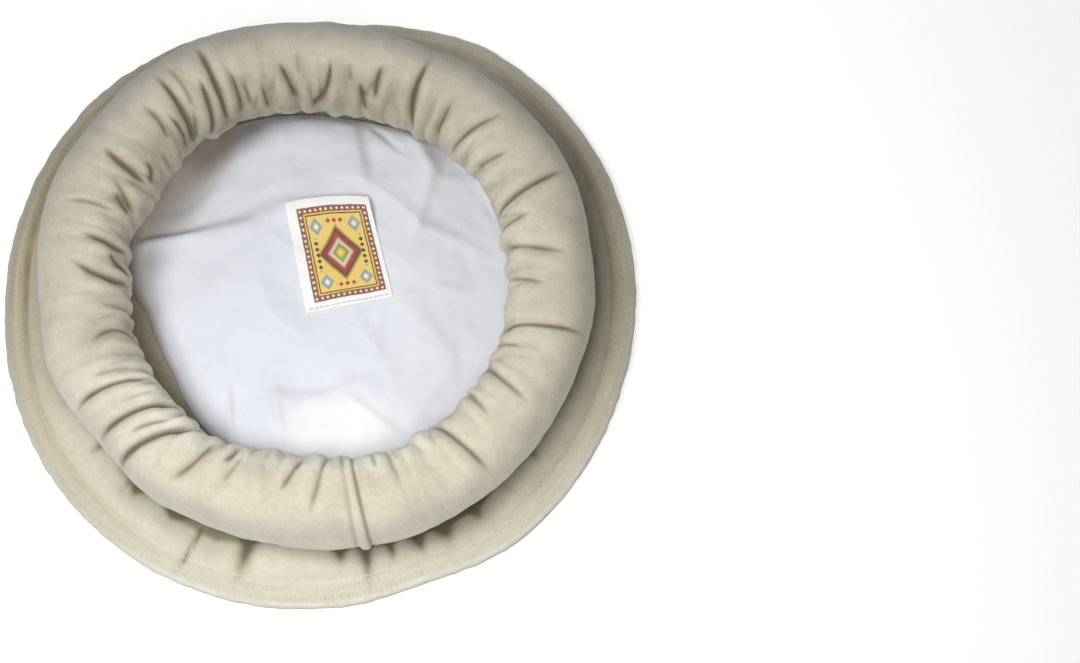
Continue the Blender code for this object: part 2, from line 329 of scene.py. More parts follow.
def put_tone(piece, name, values):
    """Stores a tone at each point. On felt one tone is painted shade with some dirt, one is grey
    painted shade, one is painted light with a paler band, and tanned is a real yellower tan; on
    the lining they are painted shade, deep painted shade and a painted pool of light, and on the
    threads the first is dirt."""
    layer = piece.data.attributes.new(name, "FLOAT", "POINT")
    layer.data.foreach_set("value", np.clip(values, 0.0, 1.0).astype(np.float32))


def finished(piece, material, stands_for=()):
    """Gives a piece its material, and says what it rides on, stands for and is finished in."""
    piece.data.materials.clear()
    piece.data.materials.append(material)
    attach(piece, "root")
    if stands_for:
        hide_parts(*stands_for)


CROWN_T = 2.9 * MM
CROWN_SECTION = [
    (0.0, CROWN_T), (0.120, CROWN_T),
    (SEAM_R, CROWN_T), (0.1463, CROWN_T), (0.1478, 2.5 * MM), (0.1483, 1.5 * MM),
    (0.1478, 0.55 * MM), (0.1462, 0.25 * MM), (0.1415, 0.25 * MM), (0.1385, 0.45 * MM),
    (0.1368, 1.05 * MM), (0.1350, 1.05 * MM), (0.1335, 0.30 * MM), (0.1310, 0.05 * MM),
    (0.1200, 0.0), (0.0, 0.0),
]
crown_section = refined(CROWN_SECTION, 0.9 * MM, closed=False, plain_inside=0.120)
crown_section = softened(crown_section, closed=False)
crown = spun("crown", crown_section, 400, closed=False)
# Its shape: the edge lifts a little, and the outer face has shallow dents.
angle, radius, height = polar(crown)
lift = smooth(radius, LIFT_FROM_R, CROWN_R) * edge_lift(angle)
below = smooth(CROWN_T * 0.6 - height, 0.0, CROWN_T * 0.3)
dents = 0.35 * MM * (1.0 + lumps(angle, radius, 0.045, 1)) * smooth(radius, 0.01, 0.03)
set_polar(
    crown, angle,
    on_outline(angle, radius),
    height + lift + below * dents * (1.0 - smooth(radius, 0.128, SEAM_R)),
)
# Its tones: dirt in the pressed seam, and painted shade on the inner felt that shows in the gap
#  beside the lining.
seam_line = smooth(1.6 * MM - np.abs(radius - 0.136), 0.0, 1.6 * MM) * below
inside = (1.0 - below) * between(radius, 0.066, 0.086, 0.126, 0.132)
put_tone(crown, "shade_and_dirt", 0.5 * seam_line + 0.72 * inside)
finished(crown, felt, stands_for=("crown_top",))


# ---------------- side band
# The side is one thickness of the same felt. It is sewn to the crown's edge, where two rows
# of zigzag stitching hold the flange flat, and then runs up in pleats under the roll.
BAND_Z = 3.2 * MM
FLANGE_TOP = 5.4 * MM
ROLL_Z = 0.032
ROLL_HALF_H = 20.8 * MM
BAND_TOP = ROLL_Z - ROLL_HALF_H - 0.3 * MM
BAND_SECTION = [
    (0.1375, BAND_Z), (0.1462, BAND_Z + 0.05 * MM), (0.1479, BAND_Z + 0.4 * MM),
    (0.1484, BAND_Z + 1.1 * MM), (0.1479, BAND_Z + 1.85 * MM), (0.1465, FLANGE_TOP),
    (0.1400, FLANGE_TOP + 0.1 * MM), (0.1384, FLANGE_TOP - 0.3 * MM), (SEAM_R, FLANGE_TOP - 1.1 * MM),
    (0.1357, FLANGE_TOP - 0.1 * MM), (0.1335, 6.5 * MM), (0.1300, 7.4 * MM), (0.1240, 8.9 * MM),
    (0.1180, 9.9 * MM), (0.1120, BAND_TOP), (0.1030, BAND_TOP), (0.0965, BAND_TOP - 0.2 * MM),
    (0.0950, BAND_TOP - 1.3 * MM), (0.0965, BAND_TOP - 2.4 * MM), (0.1080, BAND_TOP - 2.6 * MM),
    (0.1180, 7.2 * MM), (0.1240, 6.0 * MM), (0.1310, 4.3 * MM),
]
# Pleats, from the roll out towards the seam: from where to where, how high, how wide. A lean
# over 0 puts a sharp tuck beside it, on the side of the greater angles.
Pleat = namedtuple("Pleat", "angle_1 radius_1 angle_2 radius_2 height width lean")
PLEATS = [Pleat(*row) for row in (
    (8, 112, 9, 134, 1.2, 3.4, 0.5), (33, 112, 31, 134, 1.4, 3.8, -0.5),
    (66, 112, 67, 130, 1.2, 3.4, 0.4), (121, 112, 122, 132, 1.3, 3.6, -0.4),
    (152, 112, 151, 134, 1.2, 3.4, 0.5), (180, 112, 181, 134, 1.3, 3.6, 0.4),
    (207, 112, 206, 133, 1.0, 3.0, -0.5), (225, 112, 226, 134, 1.2, 3.0, 0.6),
    (245.0, 127, 244.2, 149, 1.1, 1.9, 0.9), (250, 112, 250, 136, 1.2, 5.0, 0.0),
    (262, 112, 262, 134, 1.1, 4.4, 0.0), (270, 112, 270, 133, 0.9, 3.6, 0.0),
    (278.8, 112, 278.6, 133, 1.1, 2.4, 0.0), (289.6, 112, 289.4, 134, 1.2, 3.0, 0.0),
    (312, 112, 311, 134, 1.2, 3.6, 0.5), (338, 112, 339, 134, 1.4, 3.4, -0.5),
)]
# Tucks: hollows under the roll's edge that narrow as they run out.
Tuck = namedtuple("Tuck", "angle_1 radius_1 angle_2 radius_2 depth width")
TUCKS = [Tuck(*row) for row in (
    (17, 117, 18, 132, 1.4, 2.8), (43, 117, 42, 130, 1.2, 2.4), (77, 114, 77, 124, 1.0, 2.4),
    (111, 116, 112, 127, 1.2, 2.6), (161, 117, 161, 130, 1.2, 2.4), (193, 117, 194, 131, 1.3, 2.6),
    (217, 116, 217, 130, 1.2, 2.2), (229.4, 117, 229.6, 129, 1.7, 3.4),
    (239, 117, 239.4, 127, 1.5, 6.5), (256.8, 117, 256.0, 142, 2.6, 4.4),
    (276.2, 117, 276.0, 131, 1.7, 3.6), (281.6, 117, 280.8, 144, 2.3, 3.2),
    (286.7, 117, 286.5, 134, 1.5, 2.6), (292.6, 117, 292.4, 136, 1.5, 4.4),
    (298.2, 117, 298.0, 137, 1.8, 6.0), (305.4, 117, 305.6, 135, 1.6, 4.4),
    (323, 117, 322, 132, 1.4, 3.0), (349, 117, 350, 131, 1.2, 2.6),
)]
# The painted shade under the roll: at each angle, the radius (mm) that it reaches on the side, how
#  deep it is there, and how deep the soft shade is that runs on beyond it.
SHADOWS = np.array((
    (0, 122.0, 0.95, 0.10), (206, 122.0, 0.60, 0.00), (219, 123.0, 0.00, 0.05),
    (225, 126.0, 0.30, 0.15), (230, 126.4, 0.30, 0.42), (235, 125.0, 0.15, 0.28),
    (240, 126.0, 0.35, 0.38), (245, 126.4, 0.50, 0.32), (250, 127.6, 0.55, 0.30),
    (255, 124.5, 0.50, 0.12), (260, 122.2, 0.50, 0.16), (267, 121.8, 0.90, 0.07),
    (272, 122.6, 0.95, 0.12), (276, 124.5, 0.75, 0.34), (280, 124.6, 0.55, 0.28),
    (286, 125.8, 0.85, 0.30), (291, 126.0, 0.80, 0.38), (296, 126.8, 0.80, 0.40),
    (301, 128.2, 0.80, 0.50), (307, 128.4, 0.85, 0.50), (316, 125.0, 0.95, 0.30),
    (326, 122.8, 0.95, 0.15), (360, 122.0, 0.95, 0.10),
))


def shade_under_roll(angle, reach):
    """How much shade is painted on the side at each place under the roll and beside it."""
    turn, *columns = SHADOWS.T
    edge, core, soft = (np.interp(angle % 360.0, turn, column) for column in columns)
    past = reach / MM - edge
    return core * smooth(-past, 0.0, 3.6) + soft * (1.0 - smooth(past, 0.0, 10.0))


def turned(angle):
    """The same angle, between -180 and 180 degrees."""
    return (angle + 180.0) % 360.0 - 180.0


def near_angle(angle, middle, full, none):
    """1 up to full degrees from the middle angle, and 0 from none degrees on."""
    return 1.0 - smooth(np.abs(turned(angle - middle)), full, none)


def bell(away, width):
    """1 in the middle, with a soft fall to 0 on both sides."""
    return np.exp(-((away / width) ** 2))


def crease_shape(away, width):
    """A sharp valley with soft shoulders, 1 deep in its middle."""
    away = np.hypot(away, 0.45) - 0.45
    line = 0.56 * np.exp(-np.abs(away) / (0.34 * width)) + 0.25 * np.exp(-np.abs(away) / (1.1 * width))
    return line + 0.19 * bell(away, 2.7 * width)


def along_run(row, angle, radius):
    """The share of a pleat's run at each place, and how far to the side of it, in mm."""
    share = (radius / MM - row.radius_1) / (row.radius_2 - row.radius_1)
    middle = row.angle_1 + (row.angle_2 - row.angle_1) * share
    return share, np.radians(turned(angle - middle)) * radius / MM


def pleat_relief(angle, radius):
    """How far pleats raise the side and tucks sink it, and the shade painted in the tucks."""
    height, sunk, shade = np.zeros((3, len(radius)))
    for row in PLEATS:
        share, away = along_run(row, angle, radius)
        fade = between(share, -0.25, 0.0, 0.45, 1.0)
        tuck = crease_shape(away - math.copysign(1.25 * row.width, row.lean), 0.7)
        height += fade * row.height * (bell(away, row.width) - 0.7 * abs(row.lean) * tuck)
        shade += fade * abs(row.lean) * tuck
    for row in TUCKS:
        share, away = along_run(row, angle, radius)
        fade = between(share, -0.4, 0.0, 0.30, 1.08)
        wide = row.width * np.clip(1.0 - 0.6 * share, 0.35, 1.0)
        hollow = fade * np.exp(-np.abs(away / wide) ** 1.6)
        sunk += row.depth * hollow
        shade += 1.2 * hollow
    return height * MM, sunk * MM, shade


# The side's shape: pleats, tucks and a ripple, and a pressed groove along the seam.
side = spun("side_felt", softened(refined(BAND_SECTION, 0.95 * MM)), 560)
angle, radius, height = polar(side)
reach = on_outline(angle, radius)
pressed = along_seam(angle, "pressed")
lift = smooth(radius, LIFT_FROM_R, CROWN_R) * edge_lift(angle)
relief, sunk, tuck_shade = pleat_relief(angle, reach)
top_side = smooth(radius, 0.096, 0.110) * (height > BAND_Z + 1.0 * MM)
ripple = 0.42 * lumps(angle, reach, 0.012, 2) + 0.2 * lumps(angle, reach, 0.005, 9)
ripple *= smooth(radius, 0.112, 0.120)
groove = pressed * bell(radius - SEAM_R, 1.1 * MM)
groove_tone = pressed * np.exp(-(((radius - SEAM_R) / (1.4 * MM)) ** 4))
groove_tone *= 0.78 + 0.22 * lumps(angle, reach, 0.010, 14)
puffed = pressed * bell(radius - 0.1418, 2.0 * MM)
on_top = ripple * MM - sunk + (0.5 * puffed - 0.8 * groove) * MM
set_polar(side, angle, reach, height + lift + relief + on_top * top_side)
# Its tones: painted shade under the roll and in the tucks, less of it at the back; dirt in the seam;
#  darker felt along the stitch rows; a tanned band; painted grey shade along the rim; and painted
#  light on the flange in front and at the back.
under_roll = shade_under_roll(angle, reach)
from_edge = (edge_radius(angle) - reach) / MM
tan_band = pressed * bell(from_edge - 5.9, 1.6)
stitch_line = pressed * bell(from_edge - 3.6, 1.4)
near_seam = bell(radius - SEAM_R, 3.4 * MM)
needled = np.exp(-(((from_edge / along_seam(angle, "inset") - 0.56) / 0.34) ** 4))
rim_shade = 1.0 - smooth(from_edge, 0.8 + 1.8 * pressed, 2.0 + 2.4 * pressed)
at_rear = near_angle(angle, 64.0, 26.0, 46.0)
# Painted shade under the roll and in the tucks, with the seam's dirt; less of it at the back.
side_shade_and_dirt = 0.70 * groove_tone * (0.35 + 0.65 * pressed) + 0.14 * needled
side_shade_and_dirt += 0.88 * tuck_shade + under_roll + 0.22 * stitch_line
put_tone(side, "shade_and_dirt", side_shade_and_dirt * (1.0 - 0.7 * at_rear))
put_tone(side, "painted_dim_shade", (0.12 + 0.32 * pressed) * rim_shade * top_side)
in_front = near_angle(angle, 268.0, 40.0, 84.0)
# Painted light on the flange in front, and at the back, where the roll's shade falls.
lit_flange_front = in_front * (0.6 + 0.6 * smooth(radius, 0.134, 0.142))
put_tone(side, "pale_and_painted_light", lit_flange_front + 0.9 * at_rear + 0.3 * tan_band)
put_tone(side, "tanned", (0.7 * tan_band + 0.55 * pressed * near_seam) * top_side)
finished(side, felt, stands_for=("side_band",))


def surface_of(piece):
    """A search tree of a piece's faces, to lay stitches on them."""
    mesh = piece.data
    spots = [vert.co for vert in mesh.vertices]
    return BVHTree.FromPolygons(spots, [tuple(face.vertices) for face in mesh.polygons])


def stitched(name, material, tree, spots, soiling=0.0, down=True, cyclic=True):
    """A sewing thread along (x, y, lift) spots, each laid on the surface that tree holds. It is
    the more soiled the harder the seam there is pressed."""
    curve = bpy.data.curves.new(name, "CURVE")
    curve.dimensions = "3D"
    curve.bevel_depth = THREAD_D / 2
    curve.bevel_resolution = 0
    curve.use_fill_caps = True
    line = curve.splines.new("POLY")
    line.points.add(len(spots) - 1)
    line.use_cyclic_u = cyclic
    start, ray = (0.2, Vector((0, 0, -1))) if down else (-0.2, Vector((0, 0, 1)))
    for point, (x, y, lift) in zip(line.points, spots):
        hit = tree.ray_cast(Vector((x, y, start)), ray)[0]
        point.co = (x, y, hit.z + (lift if down else -lift), 1.0)
    thread = bpy.data.objects.new(name, curve)
    bpy.context.collection.objects.link(thread)
    bpy.ops.object.select_all(action="DESELECT")
    thread.select_set(True)
    bpy.context.view_layer.objects.active = thread
    bpy.ops.object.convert(target="MESH")
    closed_up(thread, 0.001 * MM)
    put_tone(thread, "shade_and_dirt", soiling * along_seam(polar(thread)[0], "pressed"))
    finished(thread, material)


def make_thread(name, colour):
    """Cotton sewing thread, twisted, so it is ribbed across its length."""
    material, shade = new_material(name, roughness=0.8, sheen=0.15)
    place = shade.node("ShaderNodeTexCoord", out=3)
    twist = place.noise(2600.0, 2.0)
    twisted = twist.mixed(tuple(0.72 * value for value in colour), colour)
    feed(shade, shade.tone("shade_and_dirt").mixed(twisted, THREAD_SOILED), twist, 0.1 * MM, 0.6)
    return material


THREAD_SOILED = (0.42, 0.35, 0.225)
thread_cream = make_thread("cream_thread", (0.88, 0.85, 0.75))
THREAD_D = 0.52 * MM
ZIGZAG_PITCH = 2.5 * MM
ZIGZAG_HALF = 1.35 * MM
BACKSTITCH_PITCH = 3.0 * MM
OUTER_ROW = 0.35
INNER_ROW = 0.70


def stitch_reach(turn, share):
    """The radius of a place on the flange: share 0 is its edge and 1 is the seam."""
    angle = math.degrees(turn)
    return float(edge_radius(angle)) - (0.6 + share * float(along_seam(angle, "inset"))) * MM


def zigzag(share, seed):
    """A rounded zigzag row round the flange, which dips into the felt at each of its ends."""
    count = round(math.tau * CROWN_R / ZIGZAG_PITCH)
    spots = []
    for stitch in range(count):
        for part in range(8):
            phase = math.tau * part / 8
            turn = math.tau * (stitch + part / 8 + 0.10 * math.sin(2.0 * phase)) / count
            wander = 0.25 * MM * math.sin(7.0 * turn + seed) + 0.12 * MM * math.sin(2.3 * stitch + seed)
            half = ZIGZAG_HALF * float(along_seam(math.degrees(turn), "inset")) / 10.0
            reach = stitch_reach(turn, share) + half * math.cos(phase) + wander
            lift = (0.20 - 0.42 * math.cos(phase) ** 4) * MM
            spots.append((reach * math.cos(turn), reach * math.sin(turn), lift))
    return spots


def backstitch(share, seed):
    """A straight row of stitches round the cap, with a dip between each and the next."""
    count = round(math.tau * SEAM_R / BACKSTITCH_PITCH)
    spots = []
    for stitch in range(count):
        for part, lift in ((0.0, -0.35 * MM), (0.2, 0.05 * MM), (0.5, 0.12 * MM), (0.8, 0.05 * MM)):
            turn = math.tau * (stitch + part) / count
            here = stitch_reach(turn, share) + 0.2 * MM * math.sin(5.0 * turn + seed)
            spots.append((here * math.cos(turn), here * math.sin(turn), lift))
    return spots


side_tree = surface_of(side)
stitched("flange_stitch_outer", thread_cream, side_tree, zigzag(OUTER_ROW, 0.3), 0.75)
stitched("flange_stitch_inner", thread_cream, side_tree, zigzag(INNER_ROW, 1.7), 0.75)
stitched("side_seam_stitch", thread_cream, side_tree, backstitch(1.0, 0.9), 1.0)
crown_tree = surface_of(crown)
stitched("crown_stitch_outer", thread_cream, crown_tree, zigzag(OUTER_ROW, 2.1), down=False)
stitched("crown_stitch_inner", thread_cream, crown_tree, zigzag(INNER_ROW, 0.8), down=False)
stitched("crown_seam_stitch", thread_cream, crown_tree, backstitch(1.09, 1.3), 0.6, down=False)


# ---------------- roll
# The brim is the rest of the side's felt, wound up on itself into a thick soft ring. It is
# gathered on the inside, where the felt creases, and a raised welt covers the join of its ends.
ROLL_R = 0.106
ROLL_HALF_W = 20.5 * MM
ROLL_POWER = 2.3
ROLL_STEPS = 1072
# How hard the creases draw the felt in, and how far it puffs up beside them.
DEEPER = 0.95
PUFF = 0.30
# How many mm of felt one degree is, round the cap and round the roll's section.
SKIN_MM = math.radians(ROLL_R / MM)
UP_MM = math.radians(ROLL_HALF_W / MM)
# Where the roll's outer side is set in at the back, how far, and half how many degrees wide.
SET_IN_ANGLE = 95.0
SET_IN_DEPTH = 1.9 * MM
SET_IN_HALF = 11.0
# Creases: a run over the skin from one place to another, how deep, how wide (mm); how far its
# middle bows to greater angles (mm), and how much it leans: over 0 its far side is the softer.
Fold = namedtuple("Fold", "angle_1 up_1 angle_2 up_2 depth width bow lean", defaults=(0.0, 0.0))
FOLDS = [Fold(*row) for row in (
    (62, 60, 59, 158, 3.6, 1.8, 2.0, 0.1), (72, 94, 72, 136, 1.9, 1.9, 0.9, 0.2),
    (77, 128, 75, 163, 2.0, 1.8), (81, 104, 80, 124, 0.8, 2.6),
    (86, 102, 91, 168, 2.7, 2.0, -3.0, 0.4), (95, 90, 95, 116, 0.8, 2.6),
    (100, 104, 97, 150, 2.1, 2.0, -0.2, 0.1), (106, 128, 106, 168, 1.2, 2.2),
    (110, 112, 111, 152, 1.0, 2.2), (113, 103, 114, 160, 1.5, 2.3, -0.6),
    (118, 52, 119, 157, 4.3, 1.8, -1.3, 0.4), (121, 98, 125, 172, 2.8, 1.9, -1.4, 0.2),
    (126, 60, 126, 120, 1.2, 2.6, -1.2, -0.2), (127, 130, 130, 172, 1.2, 2.0),
    (129, 60, 131, 170, 3.4, 1.8, -1.6, 0.4), (133, 118, 134, 168, 1.8, 2.3, -1.0),
    (136, 84, 137, 131, 1.5, 1.9, -1.2), (147, 130, 150, 154, 1.7, 2.1, -1.5),
    (150, 78, 152, 139, 3.0, 1.9, 0.3, 0.3), (155, 108, 161, 154, 1.4, 2.0, 0.7),
    (159, 120, 162, 147, 1.5, 2.2), (165, 69, 164, 121, 1.2, 1.2, -1.2),
    (172, 98, 174, 160, 2.4, 1.9, 0.4, -0.3), (179, 85, 184, 163, 2.4, 2.0, 2.9, -0.2),
    (176, 134, 180, 170, 2.7, 2.3, 0.9), (201, 104, 201, 162, 1.2, 2.0, -3.7, -0.3),
    (209, 80, 211, 127, 1.0, 2.4), (213, 26, 216, 134, 2.4, 1.6, -2.5, -0.3),
    (221, 22, 227, 156, 3.1, 1.6, -2.8, 0.1), (219, 92, 221, 132, 0.9, 1.8),
    (226, 74, 230, 121, 1.9, 1.5, -0.9, 0.2), (228, 4, 237, 150, 4.2, 1.7, -5.2, 0.4),
    (240, 62, 244, 131, 1.9, 3.0, 1.2, 0.2), (249, 110, 251, 143, 1.8, 1.8, 0.8),
    (251, 84, 253, 120, 1.2, 2.4), (265, 89, 269, 137, 1.8, 1.9, 0.0, 0.3),
    (272, 65, 276, 140, 1.4, 1.8), (293, 88, 293, 140, 0.8, 3.6), (301, 112, 300, 142, 0.7, 2.0),
    (289, 118, 289, 148, 1.2, 1.5), (311, 40, 308, 154, 2.0, 1.8, 0.6, 0.3),
    (319, 96, 321, 150, 1.4, 1.7), (327, 66, 330, 158, 1.7, 1.8, -0.5, -0.3),
    (338, 104, 337, 160, 1.5, 1.8), (346, 30, 342, 152, 2.1, 1.8, 0.8, 0.2),
    (355, 98, 357, 150, 1.5, 1.7), (3, 70, 7, 154, 1.7, 1.8, -0.5, 0.3),
    (14, 108, 13, 160, 1.4, 1.6), (22, 38, 18, 160, 2.2, 1.8, 0.7, -0.3),
    (31, 100, 33, 148, 1.5, 1.8), (40, 74, 43, 158, 1.8, 1.8, 0.5, 0.3),
    (51, 104, 50, 156, 1.5, 1.7),
)]
WELT_ANGLE = 282.0
WELT_HALF = 1.75
WELT_HEIGHT = 1.3


def fold_pull(angle, up, folds):
    """How far each crease pulls the skin in, in mm, and how deep its shadow is."""
    pull, shade = np.zeros((2, len(angle)))
    for fold in folds:
        width = fold.width
        run_s = math.radians(fold.angle_2 - fold.angle_1) * ROLL_R / MM
        run_t = math.radians(fold.up_2 - fold.up_1) * ROLL_HALF_W / MM
        length = math.hypot(run_s, run_t)
        along_s = turned(angle - fold.angle_1) * SKIN_MM
        along_t = turned(up - fold.up_1) * UP_MM
        share = (along_s * run_s + along_t * run_t) / length**2
        kept = np.clip(share, 0.0, 1.0)
        across = (along_s * run_t - along_t * run_s) / length - fold.bow * 4.0 * kept * (1.0 - kept)
        ends = between(share, -0.10, 0.34, 0.88, 1.24)
        wide = width * (1.0 + 0.6 * fold.lean * np.tanh(across / width))
        valley = crease_shape(across, wide)
        puff = bell(across - 2.7 * width, 1.5 * width) * (1.0 - fold.lean)
        puff += bell(across + 2.7 * width, 1.5 * width) * (1.0 + fold.lean)
        pull += DEEPER * fold.depth * ends * (valley - PUFF * puff)
        line = 0.76 * bell(across, max(0.36 * width, 0.9)) + 0.20 * bell(across, 1.2 * width)
        shade += min(1.0, fold.depth / 2.8) * ends * line
    return pull, shade


def welt_height(angle, up):
    """The welt over the join: a flat ridge with a soft groove before it and a crisp one after."""
    across = turned(angle - WELT_ANGLE) * SKIN_MM
    ends = between(up, -48.0, -30.0, 146.0, 172.0)
    ridge = 1.0 - smooth(np.abs(across), WELT_HALF - 0.7, WELT_HALF + 0.6)
    before = bell(across + WELT_HALF + 1.0, 1.1)
    after = np.exp(-np.abs(across - WELT_HALF - 0.6) / 0.5)
    height = ends * (WELT_HEIGHT * ridge - 0.4 * before - 1.0 * after)
    return height, ends * (0.22 * before + 0.85 * after)


def small_folds(count, seed):
    """The fine gathers on the roll's inner side, spread unevenly round it."""
    draw = random.Random(seed)
    rows = []
    for i in range(count):
        start = (i + draw.uniform(-0.35, 0.35)) * 360.0 / count
        low = draw.uniform(112.0, 142.0)
        high = low + draw.uniform(20.0, 42.0)
        slant = draw.uniform(-2.5, 2.5)
        rows.append(Fold(start, low, start + slant, high, draw.uniform(0.3, 0.9),
                         draw.uniform(0.9, 1.7), 0.0, draw.uniform(-0.5, 0.5)))
    return rows


def hollows(field, steps, wide):
    """How far a turned piece's relief lies below the average around it: over 0 in the valleys."""
    grid = field.reshape(steps, -1)
    cycles = [np.fft.fftfreq(size)[:, None] for size in grid.shape]
    soften = np.exp(-2.0 * (math.pi * wide) ** 2 * (cycles[0] ** 2 + (1.6 * cycles[1].T) ** 2))
    return (np.fft.ifft2(np.fft.fft2(grid) * soften).real - grid).ravel()


def roll_spot(up):
    """Radius and height of a place on the plain roll's section, which is a little square."""
    cosine, sine = math.cos(math.radians(up)), math.sin(math.radians(up))
    reach = (abs(cosine) ** ROLL_POWER + abs(sine) ** ROLL_POWER) ** (-1.0 / ROLL_POWER)
    return ROLL_R + ROLL_HALF_W * reach * cosine, ROLL_Z + ROLL_HALF_H * reach * sine


cad_roll = node_points("rolled_brim")
cad_roll_radii = np.hypot(cad_roll[:, 0], cad_roll[:, 1])
inner_reach = round_curve(cad_roll, -cad_roll_radii)
outer_reach = round_curve(cad_roll, cad_roll_radii)
top_reach = round_curve(cad_roll, cad_roll[:, 2])
shown_rows = [roll_spot(-60.0 + 3.05 * i) for i in range(85)]
hidden_rows = [roll_spot(199.2 + 12.6 * i) for i in range(8)]
roll = spun("roll", shown_rows + hidden_rows, ROLL_STEPS)
angle, radius, height = polar(roll)
side_share = (radius - ROLL_R) / ROLL_HALF_W
top_share = (height - ROLL_Z) / ROLL_HALF_H
up = np.degrees(np.arctan2(top_share, side_share))
inward = np.abs(up)
# How far each place stands out from the plain roll, in mm.
pull, shadow = fold_pull(angle, up, FOLDS)
small_pull, small_shadow = fold_pull(angle, up, small_folds(54, 11))
welt, welt_shadow = welt_height(angle, up)
inside = smooth(inward, 75.0, 150.0)
wave = lumps(angle, ROLL_R, 0.0085, 3, inward * UP_MM * MM * 0.25)
swell = lumps(angle, radius, 0.030, 4, height)
dimple = lumps(angle, radius, 0.009, 5, height)
lobes = lumps(angle, ROLL_R, 0.0075, 12)
stand = (
    welt - pull - small_pull - (0.2 + 0.8 * inside) * (0.8 - 2.1 * np.abs(wave))
    + 0.7 * swell + 0.30 * dimple + 1.1 * lobes * smooth(inward, 120.0, 175.0)
)
free = smooth(height, ROLL_Z - ROLL_HALF_H + 0.5 * MM, ROLL_Z - 8.0 * MM)
across_n = np.sign(side_share) * np.abs(side_share) ** (ROLL_POWER - 1.0)
upward_n = np.sign(top_share) * np.abs(top_share) ** (ROLL_POWER - 1.0)
length_n = np.hypot(across_n, upward_n)
# The plain roll is stretched to the solid's inner, outer and upper outlines.
inner, outer = -inner_reach(angle) + 0.8 * MM, outer_reach(angle) - 0.8 * MM
outer -= SET_IN_DEPTH * bell(turned(angle - SET_IN_ANGLE), SET_IN_HALF)
tall = np.where(top_share > 0.0, (top_reach(angle) - 0.8 * MM - ROLL_Z) / ROLL_HALF_H, 1.0)
set_polar(
    roll, angle,
    (inner + outer) / 2 + side_share * (outer - inner) / 2 + free * stand * MM * across_n / length_n,
    ROLL_Z + top_share * tall * ROLL_HALF_H + free * stand * MM * upward_n / length_n,
)
# The roll's tones: painted shade along the creases, in the hollows, round the inner rim, at the
#  back, in a broad patch on the left and on the underside, with a little dirt in the creases;
#  painted grey shade on the outer face at the back and in front; painted light on the lower left
#  and on the front's top and inner side.
hollow_dirt_and_shade = np.clip(hollows(stand, ROLL_STEPS, wide=5.5) / 1.6, -0.4, 1.0)
at_back = near_angle(angle, 96.0, 40.0, 80.0)
at_front = near_angle(angle, 262.0, 34.0, 64.0)
upper_left = near_angle(angle, 128.0, 56.0, 88.0)
lower_left = near_angle(angle, 216.0, 8.0, 34.0)
outside = 1.0 - smooth(inward, 34.0, 92.0)
low_face = between(inward, 4.0, 34.0, 34.0, 66.0)
# Painted shade with a little dirt: crease lines, hollows, the inner rim, a broad patch on the left, the
# underside.
roll_shade_and_dirt = 0.02 + 0.9 * shadow + 0.4 * small_shadow + welt_shadow + 0.34 * hollow_dirt_and_shade
roll_shade_and_dirt += (0.03 + 0.19 * upper_left) * smooth(inward, 92.0, 132.0)
roll_shade_and_dirt += 0.10 * (1.0 - at_front) * smooth(inward, 125.0, 178.0)
roll_shade_and_dirt += 0.14 * at_back * smooth(inward, 88.0, 122.0)
roll_shade_and_dirt += 0.26 * bell(turned(angle - 201.0), 6.5) * smooth(inward, 66.0, 100.0)
roll_shade_and_dirt += 0.75 * smooth(ROLL_Z - 8.0 * MM - height, 0.0, 9.0 * MM)
put_tone(roll, "shade_and_dirt", roll_shade_and_dirt)
# Painted grey shade on the outer face at the back and in front.
put_tone(roll, "painted_dim_shade", 0.60 * at_back * outside + 0.30 * at_front * low_face)
# Painted light on the lower left and on the front's top and inner side.
put_tone(roll, "pale_and_painted_light", 0.5 * lower_left + 0.85 * at_front * smooth(inward, 98.0, 128.0))
finished(roll, felt, stands_for=("rolled_brim",))


# ---------------- lining
# A slack round of thin white cotton lies on the crown inside the cap. It is tucked under the
# roll, and drawn in on one side, so that the felt shows in a dark gap beside it.
LINING_R = 0.104
LINING_Z = 3.4 * MM
LINING_T = 0.6 * MM
LINING_RINGS = 126
LINING_STEPS = 270
# Its outline: angles, and the radius of its edge there (mm).
LINING_EDGE = (
    (0, 104), (24, 104), (42, 96), (62, 93.5), (72, 90.2), (84, 89.8), (97, 92.2),
    (112, 95), (126, 98), (150, 98), (166, 96), (176, 91), (186, 82), (198, 78.5),
    (210, 77.5), (222, 80.5), (234, 83.5), (244, 88), (254, 96), (266, 104), (360, 104),
)
# Wrinkles from one point to another, from above: how high, how wide, and how much the cotton
# on their right side stands above that on their left.
Wrinkle = namedtuple("Wrinkle", "x_1 y_1 x_2 y_2 height width step", defaults=(0.0,))
WRINKLES = [Wrinkle(*row) for row in (
    (-94, 25, -56, 30, 0.6, 1.2, 4.4), (-66, 29, -32, 35, 0.4, 2.4, 3.0),
    (-40, 33, -10, 47, 0.3, 3.4, 2.0), (12, 94, 21, 54, 0.6, 2.2, 2.4), (16, 92, 37, 70, -1.8, 1.7),
    (38, 86, 54, 58, 1.6, 3.4), (54, 70, 44, 26, 1.1, 2.8, 0.8), (46, 34, 80, 18, 0.9, 3.4),
    (-40, -46, -37, -78, 1.4, 1.5, 0.9), (-19, -44, -15, -70, 1.3, 1.6, -0.8),
    (-24, -50, 4, -51, 0.2, 2.4, 1.2), (0, -52, 26, -41, 0.2, 2.2, 1.4),
    (14, -50, 40, -70, 0.7, 2.2, 0.8), (34, -52, 60, -50, 0.7, 2.8, -0.8),
    (30, -4, 26, -34, 0.5, 2.6), (-70, -6, -40, 4, 0.4, 5.0), (-60, -34, -34, -20, 0.5, 4.0),
    (-20, 84, -14, 50, 0.6, 3.0), (64, -34, 44, -6, 0.7, 3.6), (70, 0, 48, 4, 0.6, 3.0),
)]


